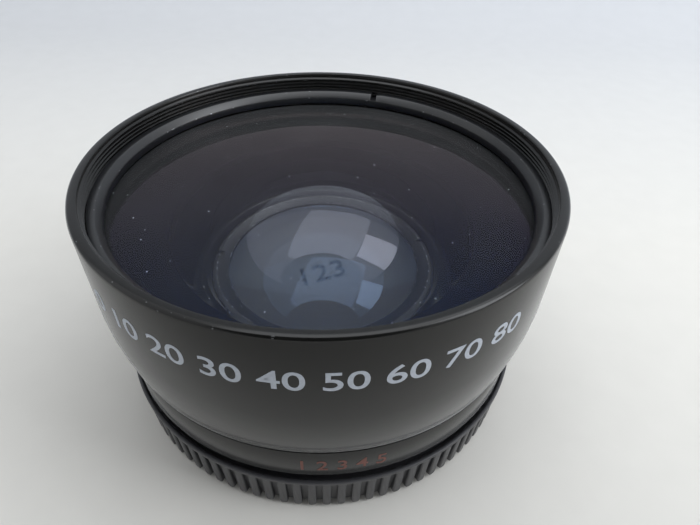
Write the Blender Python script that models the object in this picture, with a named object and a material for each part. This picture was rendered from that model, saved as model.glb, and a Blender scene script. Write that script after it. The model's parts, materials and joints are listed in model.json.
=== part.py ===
"""Wide-angle conversion lens with a macro section, standing on its rear cap.

The lens comes apart into three units that share the Z axis: the ribbed rear cap,
the macro section that screws into it, and the front unit that screws onto the
macro section. Each unit hangs on an empty at the height of its own seat, and each
piece is drawn from that seat up. Lengths are in metres.
"""
import math

import bmesh
import bpy
from mathutils import Matrix, Vector

# Clearances and fineness
GAP = 0.0003                        # between pieces that touch or screw together
TURNED_SEGMENTS = 64                # facets round a turned piece
DOME_STEPS = 4                      # bands from the middle of a glass surface to its edge
SMOOTH_ANGLE = math.radians(35.0)
WELD = 0.000001

# Mount thread, which the other radii are built in and out from
MOUNT_THREAD_RADIUS = 0.0290        # 58 mm male thread
MOUNT_THREAD_LENGTH = 0.0051
MOUNT_THREAD_WALL = 0.0026
MOUNT_THREAD_ROOT = 0.0002          # corner left by the tool between thread and shoulder
MOUNT_THREAD_LEAD = 0.0004          # lead-in at the thread's tail

# Rear cap
CAP_FLOOR = 0.0016
CAP_TAIL_ROOM = 0.0018              # between the thread's tail and the cap's floor
CAP_TO_SHOULDER = 0.0009            # groove left between the cap and the lens
CAP_WALL = 0.0019                   # thickness at the foot, outside the thread
CAP_DRAFT = 0.0011                  # how far the wall leans out from foot to flange
CAP_FOOT_BEVEL = 0.0007
CAP_FLANGE_HEIGHT = 0.0006
CAP_FLANGE_REACH = 0.0005           # how far the flange stands out of the wall
CAP_RIM_LAND = 0.0005               # flat left on the rim, outside the recess
CAP_RECESS_DEPTH = 0.0022           # recess inside the mouth, above the thread
CAP_RECESS_WALL = 0.0010            # wall left outside the recess's floor
CAP_RIB_COUNT = 96
CAP_RIB_WIDTH = 0.00115
CAP_RIB_TIP_WIDTH = 0.00095
CAP_RIB_TOP_REACH = 0.0004          # how far a rib stands out of the wall, at the flange
CAP_RIB_FOOT_REACH = 0.0008         # and at its lower end
CAP_RIB_FOOT = 0.0004               # the ribs end this far above the table
CAP_RIB_ROUND = 0.0005              # rounding of a rib's lower end
CAP_RIB_ROOT = 0.00015              # how deep a rib's top starts inside the wall

# Macro ring
SHOULDER_WIDTH = 0.0026             # flat outside the thread, under the band
BAND_FOOT_REACH = 0.0005            # bevel from the flat out to the band's foot
BAND_HEIGHT = 0.00615
BAND_FLARE = 0.0004                 # how far the band leans out from foot to top
BAND_BEVEL = 0.00025
THROAT_HEIGHT = 0.0015              # the throat's cone ends this far above the shoulder
THROAT_LIP = 0.0004                 # straight stretch of the throat under the glass
NECK_STEP = 0.0010                  # the neck's thread is this much smaller than the mount's
NECK_WALL = 0.0057
NECK_LENGTH = 0.0044
NECK_BEVEL = 0.0005

# Macro glass and its ring
MACRO_GLASS_RIM = 0.00204           # height of its cylindrical rim
MACRO_FRONT_CURVE = 0.050
MACRO_REAR_CURVE = 0.300
MACRO_RING_WALL = 0.0024
MACRO_RING_GRIP = 0.0013            # how far the ring reaches in over the glass's edge
MACRO_RING_HEIGHT = 0.0024
MACRO_RING_TOP_LAND = 0.0007        # flat left on top, outside the flare
MACRO_RING_INNER_LAND = 0.0003      # straight edge below the flare

# Front barrel
SEAM_GAP = 0.0003                   # seam between band and barrel
BARREL_OVERHANG = 0.0001            # the barrel's foot stands out of the band by this
BARREL_SWELL = 0.0021               # from the foot out to the waist
BARREL_WAIST_HEIGHT = 0.0130        # the foot's curve ends here
BARREL_TAPER = 0.0003               # from the waist out to the rim
BARREL_CURVE_STEPS = 5
LIP_WIDTH = 0.0014
LIP_ROUND = 0.0006
LIP_ROUND_STEPS = 3
LIP_BEVEL = 0.0004                  # lead-in of the mouth's female 67 mm thread
MOUTH_DEPTH = 0.0028                # thread left free above the front ring
POCKET_STEP = 0.0010                # the glass's pocket is this much smaller than the thread
LEDGE_WIDTH = 0.0086
LEDGE_THICKNESS = 0.0015

# Front glass and its ring
FRONT_GLASS_RIM = 0.0123            # height of its cylindrical rim
FRONT_GLASS_BEVEL = 0.0003
FRONT_GLASS_CENTRE = 0.0040         # thickness on the axis
FRONT_TOP_CURVE = 0.300
FRONT_HOLLOW_CURVE = 0.0315
FRONT_RING_HEIGHT = 0.00215
FRONT_RING_WALL = 0.0020
FRONT_RING_FLARE = 0.0008
FRONT_RING_FLARE_DEPTH = 0.0010

# Spanner slots, cut in pairs across both rings
SLOT_WIDTH = 0.0011
SLOT_DEPTH = 0.0009
FRONT_SLOT_AZIMUTH = math.radians(75.5)
MACRO_SLOT_AZIMUTH = math.radians(8.0)

# Finishes: sRGB colour, roughness, metallic
ANODISED = ((0.235, 0.235, 0.225), 0.42, 0.9)
RING_BLACK = ((0.16, 0.16, 0.165), 0.38, 0.9)
PLASTIC = ((0.30, 0.30, 0.31), 0.55, 0.0)
COATED_GLASS = ((0.20, 0.22, 0.27), 0.04, 0.0)


def dome_drop(curve, radius):
    """How far a spherical surface has fallen at a radius from its axis."""
    return curve - math.sqrt(curve * curve - radius * radius)


def dome_radius(curve, drop):
    """The radius at which a spherical surface has fallen by a drop."""
    return math.sqrt(drop * (2.0 * curve - drop))


# Radii that follow from the mount thread, outwards and inwards
CAP_BORE_RADIUS = MOUNT_THREAD_RADIUS + GAP
CAP_FOOT_RADIUS = CAP_BORE_RADIUS + CAP_WALL
CAP_FLANGE_RADIUS = CAP_FOOT_RADIUS + CAP_DRAFT + CAP_FLANGE_REACH
MOUNT_BORE_RADIUS = MOUNT_THREAD_RADIUS - MOUNT_THREAD_WALL
SHOULDER_RADIUS = MOUNT_THREAD_RADIUS + SHOULDER_WIDTH
BAND_FOOT_RADIUS = SHOULDER_RADIUS + BAND_FOOT_REACH
BAND_TOP_RADIUS = BAND_FOOT_RADIUS + BAND_FLARE
NECK_RADIUS = MOUNT_THREAD_RADIUS - NECK_STEP
NECK_BORE_RADIUS = NECK_RADIUS - NECK_WALL
MACRO_RING_RADIUS = NECK_BORE_RADIUS - GAP
MACRO_CLEAR_RADIUS = MACRO_RING_RADIUS - MACRO_RING_WALL
MACRO_GLASS_RADIUS = MACRO_CLEAR_RADIUS + MACRO_RING_GRIP
MACRO_POCKET_RADIUS = MACRO_GLASS_RADIUS + GAP
SEAT_BORE_RADIUS = MACRO_CLEAR_RADIUS + 0.5 * GAP
BARREL_NECK_BORE = NECK_RADIUS + GAP
BARREL_FOOT_RADIUS = BAND_TOP_RADIUS + BARREL_OVERHANG
BARREL_WAIST_RADIUS = BARREL_FOOT_RADIUS + BARREL_SWELL
BARREL_RIM_RADIUS = BARREL_WAIST_RADIUS + BARREL_TAPER
LIP_BORE_RADIUS = BARREL_RIM_RADIUS - LIP_WIDTH
FILTER_THREAD_RADIUS = LIP_BORE_RADIUS - LIP_BEVEL
GLASS_POCKET_RADIUS = FILTER_THREAD_RADIUS - POCKET_STEP
LEDGE_BORE_RADIUS = GLASS_POCKET_RADIUS - LEDGE_WIDTH
FRONT_GLASS_RADIUS = GLASS_POCKET_RADIUS - GAP
FRONT_RING_RADIUS = FILTER_THREAD_RADIUS - GAP
FRONT_RING_BORE_RADIUS = FRONT_RING_RADIUS - FRONT_RING_WALL

# Heights of the rear cap and of the two units' seats, from the table
SHOULDER_Z = CAP_FLOOR + CAP_TAIL_ROOM + MOUNT_THREAD_LENGTH
CAP_HEIGHT = SHOULDER_Z - CAP_TO_SHOULDER
CAP_FLANGE_FOOT = CAP_HEIGHT - CAP_FLANGE_HEIGHT
SEAM_Z = SHOULDER_Z + BAND_HEIGHT + SEAM_GAP

# Heights in the macro section, from its shoulder
MACRO_SEAT_HEIGHT = THROAT_HEIGHT + THROAT_LIP
MACRO_GLASS_FOOT = MACRO_SEAT_HEIGHT + GAP
MACRO_REAR_VERTEX = MACRO_GLASS_FOOT - dome_drop(MACRO_REAR_CURVE, MACRO_GLASS_RADIUS)
MACRO_GLASS_EDGE = MACRO_GLASS_FOOT + MACRO_GLASS_RIM
MACRO_TOP_VERTEX = MACRO_GLASS_EDGE + dome_drop(MACRO_FRONT_CURVE, MACRO_GLASS_RADIUS)
MACRO_RING_FOOT = MACRO_TOP_VERTEX - dome_drop(MACRO_FRONT_CURVE, MACRO_CLEAR_RADIUS) + GAP
NECK_TOP = BAND_HEIGHT + NECK_LENGTH

# Heights in the front unit, from the seam
LEDGE_BOTTOM = NECK_LENGTH - SEAM_GAP + GAP
LEDGE_TOP = LEDGE_BOTTOM + LEDGE_THICKNESS
FRONT_GLASS_FOOT = LEDGE_TOP + GAP
FRONT_GLASS_EDGE = FRONT_GLASS_FOOT + FRONT_GLASS_RIM
FRONT_TOP_VERTEX = FRONT_GLASS_EDGE + dome_drop(FRONT_TOP_CURVE, FRONT_GLASS_RADIUS)
FRONT_HOLLOW_VERTEX = FRONT_TOP_VERTEX - FRONT_GLASS_CENTRE
FRONT_HOLLOW_RADIUS = dome_radius(FRONT_HOLLOW_CURVE, FRONT_HOLLOW_VERTEX - FRONT_GLASS_FOOT)
FRONT_RING_FOOT = FRONT_TOP_VERTEX - dome_drop(FRONT_TOP_CURVE, FRONT_RING_BORE_RADIUS) + GAP
FRONT_RING_TOP = FRONT_RING_FOOT + FRONT_RING_HEIGHT
BARREL_HEIGHT = FRONT_RING_TOP + MOUTH_DEPTH


def clear_scene():
    for old in list(bpy.data.objects):
        bpy.data.objects.remove(old, do_unlink=True)


def finish(name, look):
    """A Principled material from an sRGB colour, a roughness and a metallic value."""
    colour, roughness, metallic = look
    material = bpy.data.materials.new(name)
    material.use_nodes = True
    shader = material.node_tree.nodes["Principled BSDF"]
    linear = [channel ** 2.2 for channel in colour]
    shader.inputs["Base Color"].default_value = (*linear, 1.0)
    shader.inputs["Roughness"].default_value = roughness
    shader.inputs["Metallic"].default_value = metallic
    return material


def unit(name, height):
    """An empty at a unit's seat, which the unit's pieces are parented to."""
    empty = bpy.data.objects.new(name, None)
    empty.location = (0.0, 0.0, height)
    bpy.context.scene.collection.objects.link(empty)
    return empty


def to_object(name, mesh_data, parent, look=None):
    """Turns a bmesh into a smooth-shaded object under its unit's empty."""
    bmesh.ops.recalc_face_normals(mesh_data, faces=mesh_data.faces)
    mesh = bpy.data.meshes.new(name)
    mesh_data.to_mesh(mesh)
    mesh_data.free()
    mesh.shade_smooth()
    mesh.set_sharp_from_angle(angle=SMOOTH_ANGLE)
    piece = bpy.data.objects.new(name, mesh)
    piece.parent = parent
    bpy.context.scene.collection.objects.link(piece)
    if look is not None:
        mesh.materials.append(finish(name, look))
    return piece


def spun(outline, segments):
    """Spins an outline of (radius, height) points round Z.

    An outline that starts and ends on the axis makes a solid disc, and any other
    is closed on itself and makes a ring.
    """
    turned = bmesh.new()
    points = [turned.verts.new((radius, 0.0, height)) for radius, height in outline]
    edges = [turned.edges.new(pair) for pair in zip(points, points[1:])]
    if outline[0][0] > 0.0:
        edges.append(turned.edges.new((points[-1], points[0])))
    bmesh.ops.spin(
        turned,
        geom=points + edges,
        cent=(0.0, 0.0, 0.0),
        axis=(0.0, 0.0, 1.0),
        angle=math.tau,
        steps=segments,
        use_merge=True,
    )
    bmesh.ops.remove_doubles(turned, verts=turned.verts, dist=WELD)
    return turned


def dome_points(curve, vertex, radius, inwards=False):
    """Points of a spherical surface from its axis out to a radius."""
    radii = [radius * step / DOME_STEPS for step in range(DOME_STEPS + 1)]
    points = [(r, vertex - dome_drop(curve, r)) for r in radii]
    return points[::-1] if inwards else points


def hide_cutter(helper):
    helper.hide_render = True
    helper.display_type = "WIRE"


def boolean(piece, helper, operation):
    hide_cutter(helper)
    modifier = piece.modifiers.new(helper.name, "BOOLEAN")
    modifier.operation = operation
    modifier.solver = "EXACT"
    modifier.object = helper


def cut_spanner_slots(ring, radius, top, azimuth, parent):
    """Cuts two opposite slots in a ring's top with one bar across it."""
    bar = bmesh.new()
    bmesh.ops.create_cube(bar, size=1.0)
    size = Vector((2.0 * radius + SLOT_DEPTH, SLOT_WIDTH, 2.0 * SLOT_DEPTH))
    bmesh.ops.scale(bar, vec=size, verts=bar.verts)
    turn = Matrix.Rotation(azimuth, 3, "Z")
    bmesh.ops.rotate(bar, matrix=turn, verts=bar.verts)
    bmesh.ops.translate(bar, vec=(0.0, 0.0, top), verts=bar.verts)
    boolean(ring, to_object(ring.name + "_slot_bar", bar, parent), "DIFFERENCE")


def cap_wall_radius(height):
    """The drafted wall of the cap, outside, at a height."""
    return CAP_FOOT_RADIUS + CAP_DRAFT * height / CAP_FLANGE_FOOT


def cap_outline():
    """The cup of the cap with its foot bevel, its thin flange and the recess in its mouth."""
    recess_floor = CAP_HEIGHT - CAP_RECESS_DEPTH
    return [
        (0.0, 0.0),
        (cap_wall_radius(0.0) - CAP_FOOT_BEVEL, 0.0),
        (cap_wall_radius(CAP_FOOT_BEVEL), CAP_FOOT_BEVEL),
        (cap_wall_radius(CAP_FLANGE_FOOT), CAP_FLANGE_FOOT),
        (CAP_FLANGE_RADIUS, CAP_FLANGE_FOOT),
        (CAP_FLANGE_RADIUS, CAP_HEIGHT),
        (CAP_FLANGE_RADIUS - CAP_RIM_LAND, CAP_HEIGHT),
        (cap_wall_radius(recess_floor) - CAP_RECESS_WALL, recess_floor),
        (CAP_BORE_RADIUS, recess_floor),
        (CAP_BORE_RADIUS, CAP_FLOOR),
        (0.0, CAP_FLOOR),
    ]


def rib_outline():
    """A rib's side view, as (radius, height), from inside the wall and round its foot."""
    top = CAP_FLANGE_FOOT + CAP_RIB_ROOT
    points = [
        (cap_wall_radius(top) - CAP_RIB_ROOT, top),
        (cap_wall_radius(CAP_RIB_FOOT) - CAP_FOOT_BEVEL, CAP_RIB_FOOT),
    ]
    tip_radius = cap_wall_radius(CAP_RIB_FOOT) + CAP_RIB_FOOT_REACH
    for turn in (-90.0, -45.0, 0.0):
        angle = math.radians(turn)
        radius = tip_radius - CAP_RIB_ROUND * (1.0 - math.cos(angle))
        height = CAP_RIB_FOOT + CAP_RIB_ROUND * (1.0 + math.sin(angle))
        points.append((radius, height))
    points.append((cap_wall_radius(top) + CAP_RIB_TOP_REACH, top))
    return points


def rib_width(radius, height):
    """A rib narrows a little from the wall to its tip."""
    reach = max(0.0, radius - cap_wall_radius(height))
    share = min(1.0, reach / CAP_RIB_FOOT_REACH)
    return CAP_RIB_WIDTH + (CAP_RIB_TIP_WIDTH - CAP_RIB_WIDTH) * share


def grip_ribs(parent):
    """The ring of ribs that the cap's wall is joined with."""
    ribs = bmesh.new()
    outline = rib_outline()
    for number in range(CAP_RIB_COUNT):
        turn = Matrix.Rotation(math.tau * number / CAP_RIB_COUNT, 4, "Z")
        sides = []
        for side in (-0.5, 0.5):
            corners = [
                turn @ Vector((radius, side * rib_width(radius, height), height))
                for radius, height in outline
            ]
            sides.append([ribs.verts.new(corner) for corner in corners])
        near, far = sides
        ribs.faces.new(near)
        ribs.faces.new(far)
        for index in range(len(outline)):
            after = (index + 1) % len(outline)
            ribs.faces.new((near[index], near[after], far[after], far[index]))
    return to_object("cap_grip_ribs", ribs, parent)


def rear_cap(parent):
    cap = to_object("rear_cap", spun(cap_outline(), CAP_RIB_COUNT), parent, PLASTIC)
    boolean(cap, grip_ribs(parent), "UNION")
    return cap


def macro_ring(parent):
    """Mount thread below, band outside, glass seat inside and threaded neck on top."""
    outline = [
        (MOUNT_THREAD_RADIUS - MOUNT_THREAD_LEAD, -MOUNT_THREAD_LENGTH),
        (MOUNT_THREAD_RADIUS, MOUNT_THREAD_LEAD - MOUNT_THREAD_LENGTH),
        (MOUNT_THREAD_RADIUS, -MOUNT_THREAD_ROOT),
        (MOUNT_THREAD_RADIUS + MOUNT_THREAD_ROOT, 0.0),
        (SHOULDER_RADIUS, 0.0),
        (BAND_FOOT_RADIUS, BAND_BEVEL),
        (BAND_TOP_RADIUS, BAND_HEIGHT - BAND_BEVEL),
        (BAND_TOP_RADIUS - BAND_BEVEL, BAND_HEIGHT),
        (NECK_RADIUS, BAND_HEIGHT),
        (NECK_RADIUS, NECK_TOP - NECK_BEVEL),
        (NECK_RADIUS - NECK_BEVEL, NECK_TOP),
        (NECK_BORE_RADIUS + NECK_BEVEL, NECK_TOP),
        (NECK_BORE_RADIUS, NECK_TOP - NECK_BEVEL),
        (NECK_BORE_RADIUS, MACRO_RING_FOOT - GAP),
        (MACRO_POCKET_RADIUS, MACRO_RING_FOOT - GAP),
        (MACRO_POCKET_RADIUS, MACRO_SEAT_HEIGHT),
        (SEAT_BORE_RADIUS, MACRO_SEAT_HEIGHT),
        (SEAT_BORE_RADIUS, THROAT_HEIGHT),
        (MOUNT_BORE_RADIUS, 0.0),
        (MOUNT_BORE_RADIUS, -MOUNT_THREAD_LENGTH),
    ]
    return to_object("macro_ring", spun(outline, TURNED_SEGMENTS), parent, ANODISED)


def macro_glass(parent):
    """Strongly curved on top and nearly flat below."""
    middle = 0.5 * MACRO_GLASS_RADIUS
    outline = dome_points(MACRO_FRONT_CURVE, MACRO_TOP_VERTEX, MACRO_GLASS_RADIUS)
    outline += [
        (MACRO_GLASS_RADIUS, MACRO_GLASS_FOOT),
        (middle, MACRO_REAR_VERTEX + dome_drop(MACRO_REAR_CURVE, middle)),
        (0.0, MACRO_REAR_VERTEX),
    ]
    return to_object("macro_glass", spun(outline, TURNED_SEGMENTS), parent, COATED_GLASS)


def macro_retaining_ring(parent):
    """Holds the macro glass down and flares open above it."""
    top = MACRO_RING_FOOT + MACRO_RING_HEIGHT
    outline = [
        (MACRO_CLEAR_RADIUS, MACRO_RING_FOOT),
        (MACRO_RING_RADIUS, MACRO_RING_FOOT),
        (MACRO_RING_RADIUS, top),
        (MACRO_RING_RADIUS - MACRO_RING_TOP_LAND, top),
        (MACRO_CLEAR_RADIUS, MACRO_RING_FOOT + MACRO_RING_INNER_LAND),
    ]
    ring = to_object("macro_retaining_ring", spun(outline, TURNED_SEGMENTS), parent, RING_BLACK)
    cut_spanner_slots(ring, MACRO_RING_RADIUS, top, MACRO_SLOT_AZIMUTH, parent)
    return ring


def barrel_side():
    """The barrel's outer line: a parabola from the foot to the waist, then a slow taper."""
    points = []
    for step in range(BARREL_CURVE_STEPS + 1):
        share = step / BARREL_CURVE_STEPS
        fall = (BARREL_WAIST_RADIUS - BARREL_FOOT_RADIUS) * (1.0 - share) ** 2
        points.append((BARREL_WAIST_RADIUS - fall, BARREL_WAIST_HEIGHT * share))
    centre = (BARREL_RIM_RADIUS - LIP_ROUND, BARREL_HEIGHT - LIP_ROUND)
    for step in range(LIP_ROUND_STEPS + 1):
        angle = 0.5 * math.pi * step / LIP_ROUND_STEPS
        radius = centre[0] + LIP_ROUND * math.cos(angle)
        height = centre[1] + LIP_ROUND * math.sin(angle)
        points.append((radius, height))
    return points


def front_barrel(parent):
    outline = barrel_side() + [
        (LIP_BORE_RADIUS, BARREL_HEIGHT),
        (FILTER_THREAD_RADIUS, BARREL_HEIGHT - LIP_BEVEL),
        (FILTER_THREAD_RADIUS, FRONT_RING_FOOT - GAP),
        (GLASS_POCKET_RADIUS, FRONT_RING_FOOT - GAP),
        (GLASS_POCKET_RADIUS, LEDGE_TOP),
        (LEDGE_BORE_RADIUS, LEDGE_TOP),
        (LEDGE_BORE_RADIUS, LEDGE_BOTTOM),
        (BARREL_NECK_BORE, LEDGE_BOTTOM),
        (BARREL_NECK_BORE, 0.0),
    ]
    return to_object("front_barrel", spun(outline, TURNED_SEGMENTS), parent, ANODISED)


def front_glass(parent):
    """Nearly flat on top, deeply hollow below, with a wide flat rim to sit on."""
    top_radius = FRONT_GLASS_RADIUS - FRONT_GLASS_BEVEL
    outline = dome_points(FRONT_TOP_CURVE, FRONT_TOP_VERTEX, top_radius)
    outline += [
        (FRONT_GLASS_RADIUS, FRONT_GLASS_EDGE - FRONT_GLASS_BEVEL),
        (FRONT_GLASS_RADIUS, FRONT_GLASS_FOOT + FRONT_GLASS_BEVEL),
        (FRONT_GLASS_RADIUS - FRONT_GLASS_BEVEL, FRONT_GLASS_FOOT),
    ]
    outline += dome_points(FRONT_HOLLOW_CURVE, FRONT_HOLLOW_VERTEX, FRONT_HOLLOW_RADIUS, True)
    return to_object("front_glass", spun(outline, TURNED_SEGMENTS), parent, COATED_GLASS)


def front_retaining_ring(parent):
    """Screws into the filter thread over the glass's edge."""
    outline = [
        (FRONT_RING_BORE_RADIUS, FRONT_RING_FOOT),
        (FRONT_RING_RADIUS, FRONT_RING_FOOT),
        (FRONT_RING_RADIUS, FRONT_RING_TOP),
        (FRONT_RING_BORE_RADIUS + FRONT_RING_FLARE, FRONT_RING_TOP),
        (FRONT_RING_BORE_RADIUS, FRONT_RING_TOP - FRONT_RING_FLARE_DEPTH),
    ]
    ring = to_object("front_retaining_ring", spun(outline, TURNED_SEGMENTS), parent, RING_BLACK)
    cut_spanner_slots(ring, FRONT_RING_RADIUS, FRONT_RING_TOP, FRONT_SLOT_AZIMUTH, parent)
    return ring


def build():
    clear_scene()
    cap_unit = unit("cap_unit", 0.0)
    macro_unit = unit("macro_unit", SHOULDER_Z)
    front_unit = unit("front_unit", SEAM_Z)
    rear_cap(cap_unit)
    macro_ring(macro_unit)
    macro_glass(macro_unit)
    macro_retaining_ring(macro_unit)
    front_barrel(front_unit)
    front_glass(front_unit)
    front_retaining_ring(front_unit)


build()
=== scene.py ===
"""Looks of a wide-angle conversion lens that stands on its rear cap, front glass up.

Each turned piece is spun again, much finer, from the section of the solid that it
stands for, so it keeps that solid's sizes. Threads, ribs, true glass curves, printed
marks and finishes are then added to it. Lengths are in metres, Z is the lens's axis.
"""

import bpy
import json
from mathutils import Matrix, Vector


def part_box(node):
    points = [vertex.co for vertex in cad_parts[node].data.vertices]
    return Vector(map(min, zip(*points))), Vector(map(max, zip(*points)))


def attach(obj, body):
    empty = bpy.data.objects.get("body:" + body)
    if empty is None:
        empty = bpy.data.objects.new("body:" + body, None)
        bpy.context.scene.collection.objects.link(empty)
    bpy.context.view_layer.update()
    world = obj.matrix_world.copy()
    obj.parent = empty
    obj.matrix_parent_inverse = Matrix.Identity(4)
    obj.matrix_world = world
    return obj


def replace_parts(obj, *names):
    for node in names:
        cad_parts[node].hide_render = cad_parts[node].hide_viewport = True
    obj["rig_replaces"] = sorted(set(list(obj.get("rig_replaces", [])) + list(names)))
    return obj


bl_info = {
    "name": "Wide-angle conversion lens",
    "version": (1, 0, 0),
    "blender": (4, 5, 0),
    "location": "3D View > Sidebar > Conversion lens",
    "description": "Dresses the solids of a screw-on wide-angle conversion lens for the studio",
    "category": "Add Mesh",
}

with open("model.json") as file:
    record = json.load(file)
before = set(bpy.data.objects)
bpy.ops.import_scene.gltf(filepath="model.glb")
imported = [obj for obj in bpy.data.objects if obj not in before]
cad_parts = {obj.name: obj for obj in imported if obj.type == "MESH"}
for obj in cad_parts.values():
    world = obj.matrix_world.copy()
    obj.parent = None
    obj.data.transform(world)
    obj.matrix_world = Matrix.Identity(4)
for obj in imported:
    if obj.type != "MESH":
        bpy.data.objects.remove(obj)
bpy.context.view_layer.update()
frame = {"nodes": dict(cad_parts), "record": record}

import json
import math

import bmesh
import bpy
from bpy.props import FloatProperty, FloatVectorProperty, IntProperty, PointerProperty, StringProperty
from mathutils import Matrix, Vector

MM = 0.001
WELD = 0.001 * MM
TURN_STEPS = 192  # facets round a turned piece
THREAD_STEPS = 96  # facets in one turn of a thread
DOME_CUTS = 9  # points added along each chord of a glass face
EDGE_BREAK = 0.10 * MM  # width of the bevel that takes the sharpness off an edge
EDGE_ANGLE = math.radians(25.0)  # edges sharper than this are broken
SMOOTH_ANGLE = math.radians(40.0)
STRAIGHT = math.radians(0.2)  # outline points that turn less than this are dropped
OVERLAP = 0.1 * MM  # how far a shape runs into the one that it joins
LETTER_STRIP = 0.5 * MM  # width of the strips in which letters follow a round wall
RIDGE_SUNK = 1.1  # a thread's ridge is this much deeper, so its foot lies in the wall
RIDGE_FOOT = 0.44  # half the width of a ridge's foot, over the pitch
RIDGE_CREST = 0.07  # half the width of its crest, over the pitch
FACES_UP = math.radians(45.0)  # a glass's face that leans less than this is its top
FLECK_EDGE = 0.08  # how softly a rubbed fleck ends, in noise
RUBBED_ROUGHNESS = 0.3  # of the metal that shows in a fleck
LAMP_TINT = (0.93, 0.96, 1.0)  # daylight, cooler than the room's
ROOM_TINT = (0.95, 0.97, 1.0)
ORIGIN = Vector((0.0, 0.0, 0.0))
UP = Vector((0.0, 0.0, 1.0))
EDGE_LAYER = "broken_edge"  # face attribute, one on the small bevels


def linear(hex_colour):
    """The linear colour of an sRGB hex value."""
    channels = [int(hex_colour[i:i + 2], 16) / 255.0 for i in (1, 3, 5)]
    return tuple(c / 12.92 if c <= 0.04045 else ((c + 0.055) / 1.055) ** 2.4 for c in channels)


def colour(name, description, hex_colour):
    """A colour that a user may change, given as sRGB hex."""
    return FloatVectorProperty(
        name=name,
        description=description,
        subtype="COLOR",
        size=3,
        min=0.0,
        max=1.0,
        default=linear(hex_colour),
    )


def length(name, description, millimetres):
    """A length that a user may change, given in millimetres."""
    return FloatProperty(
        name=name,
        description=description,
        default=millimetres * MM,
        min=0.0,
        unit="LENGTH",
        subtype="DISTANCE",
        precision=5,
    )


def amount(name, description, default, top=1.0):
    return FloatProperty(name=name, description=description, default=default, min=0.0, max=top)


def spot(name, description, *millimetres):
    """A place that a user may change, given in millimetres."""
    return FloatVectorProperty(
        name=name,
        description=description,
        default=[value * MM for value in millimetres],
        subtype="TRANSLATION",
        unit="LENGTH",
    )


def angle(name, description, degrees):
    return FloatProperty(name=name, description=description, default=math.radians(degrees), subtype="ANGLE")


class MetalSettings(bpy.types.PropertyGroup):
    """Finish of the turned aluminium."""

    anodised: colour("Anodised", "Colour of the dyed oxide on barrel and macro ring", "#111110")
    ring_black: colour("Front ring", "Colour of the front retaining ring", "#17181a")
    matt_black: colour("Macro ring", "Colour of the matt ring round the small glass", "#0e0e0f")
    bare_metal: colour("Bare metal", "Aluminium that shows where an edge is rubbed", "#8e9092")
    roughness: amount("Roughness", "How widely the bead-blasted oxide scatters a highlight", 0.20)
    ring_roughness: amount("Front ring roughness", "The same on the front ring", 0.36)
    matt_roughness: amount("Macro ring roughness", "The same on the macro retaining ring", 0.6)
    spared: amount("Edges spared", "How much of the barrel's edges keeps its oxide", 0.66)
    ring_spared: amount("Front ring spared", "The same on the front ring", 0.64)
    matt_spared: amount("Macro ring spared", "The same on the macro retaining ring", 0.54)
    bloom: amount("Bloom", "How much fine dust on the oxide lights up at a glancing angle", 0.28)
    filter_pitch: length("Filter thread pitch", "Distance between ridges in the mouth", 0.6)
    screw_pitch: length("Screw pitch", "Distance between ridges of mount and neck threads", 0.75)
    thread_depth: length("Thread depth", "From a ridge's crest to its root", 0.3)
    thread_relief: length("Thread relief", "Plain part left at each end of a thread", 0.3)
    seam_closed: length("Seam closed", "How far the macro ring is raised into the solids' gap", 0.17)


class GlassSettings(bpy.types.PropertyGroup):
    """Curves, slots and coating of the two glasses and their rings."""

    front_top: length("Front curve", "Radius of the front glass's upper face", 300.0)
    front_hollow: length("Hollow curve", "Radius of the front glass's lower face", 31.5)
    macro_top: length("Macro front curve", "Radius of the small glass's upper face", 50.0)
    macro_rear: length("Macro rear curve", "Radius of the small glass's lower face", 300.0)
    film_thickness: amount("Film thickness", "Anti-reflection coat, in nanometres", 147.0, 1000.0)
    film_index: amount("Film index", "IOR of one film that cancels as much as the real layers", 1.25, 3.0)
    inner: colour("Inner faces", "Share of each colour that the front glass's hollow reflects", "#f4f0ff")
    macro_coat: colour("Macro coating", "Share of each colour that the small glass reflects", "#c2d8ff")
    body: colour("Glass", "Tint of light through the glass", "#f2f6f8")
    haze: amount("Haze", "Share of light that the film on the front glass scatters", 0.0155)
    dust: colour("Dust", "Colour of the specks of dust", "#84898e")
    edge_paint: colour("Edge paint", "Matt black on the ground rims", "#101012")
    front_opened: length("Front ring opened", "How far its bore is turned out past the solid's", 0.35)
    thread_play: length("Thread play", "How much nearer their threads the rings stand than the solids", 0.22)
    slot_width: length("Slot width", "Width of a spanner slot", 1.1)
    slot_depth: length("Slot depth", "Depth of a spanner slot", 0.9)
    front_slot: angle("Front slot", "Azimuth of the front ring's slots", 75.5)
    macro_slot: angle("Macro slot", "Azimuth of the macro ring's slots", 8.0)


class CapSettings(bpy.types.PropertyGroup):
    """Ribs and plastic of the rear cap."""

    ribs: IntProperty(name="Ribs", description="Grip ribs round the cap", default=96, min=3)
    rib_width: length("Rib width", "Width of a rib at its root", 1.30)
    rib_tip_width: length("Rib tip width", "Width of a rib at its outer edge", 1.20)
    rib_foot: length("Rib foot", "Height of a rib's lower end over the table", 0.4)
    rib_clear: length("Rib clear", "From a rib's end to where its section is measured", 0.5)
    rib_root: length("Rib root", "How deep a rib's root lies in the cap's wall", 0.3)
    rib_edge: length("Rib edge", "Rounding along a rib's edges", 0.18)
    rib_corner: length("Rib corner", "Rounding of a rib's two lower corners", 0.5)
    plastic: colour("Plastic", "Colour of the moulded cap", "#38383b")
    roughness: amount("Roughness", "How dull the moulded skin is", 0.40)


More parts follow.
